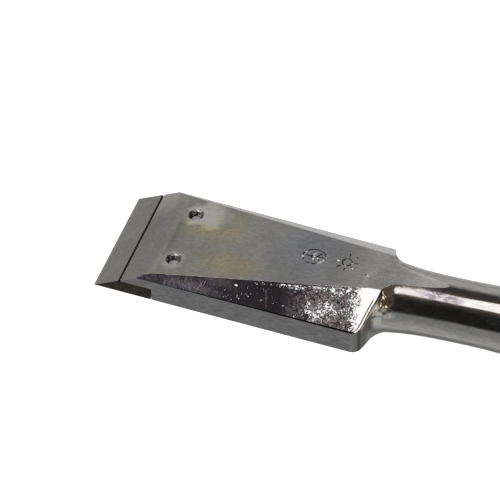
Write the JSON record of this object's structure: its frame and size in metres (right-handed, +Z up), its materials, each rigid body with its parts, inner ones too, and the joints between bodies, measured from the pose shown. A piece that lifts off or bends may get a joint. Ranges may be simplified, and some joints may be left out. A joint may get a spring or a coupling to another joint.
{
  "type": "skiving knife",
  "caption": "Flat-backed steel skiving knife: a wide bevelled blade screwed under a side-bevelled head, round neck, ferrule and turned wooden handle.",
  "frame": {"origin": "middle of the cutting edge, on the flat back of the knife", "axes": "+X from the cutting edge towards the handle, +Y towards the far side of the blade, +Z up from the flat back through the bevelled face"},
  "size_m": [0.2376, 0.03, 0.0315],
  "materials": {
    "holder_steel": "ground satin on the flats, polished on the side bevels and neck",
    "blade_steel": "ground satin",
    "screw_steel": "plain bright",
    "ferrule_steel": "satin",
    "handle_wood": "oiled hardwood"
  },
  "bodies": {
    "holder": {"blade_holder": "holder_steel", "ferrule": "ferrule_steel", "handle": "handle_wood"},
    "blade": {"cutting_blade": "blade_steel"},
    "near_screw": {"blade_screw_near": "screw_steel"},
    "far_screw": {"blade_screw_far": "screw_steel"}
  },
  "joints": [
    {"name": "blade_back_off", "type": "slide", "parent": "holder", "child": "blade", "axis": [0, 0, -1], "range_m": [0, 0.0023]},
    {"name": "near_screw_turn", "type": "hinge", "parent": "blade", "child": "near_screw", "pos_m": [0.0177, -0.00765, 0.002], "axis": [0, 0, -1], "range_deg": [0, 1183]},
    {"name": "far_screw_turn", "type": "hinge", "parent": "blade", "child": "far_screw", "pos_m": [0.0177, 0.00765, 0.002], "axis": [0, 0, -1], "range_deg": [0, 1183]}
  ],
  "couplings": [
    {"joint": "near_screw_turn", "follows": "blade_back_off", "rad_per_m": 8976},
    {"joint": "far_screw_turn", "follows": "blade_back_off", "rad_per_m": 8976}
  ]
}
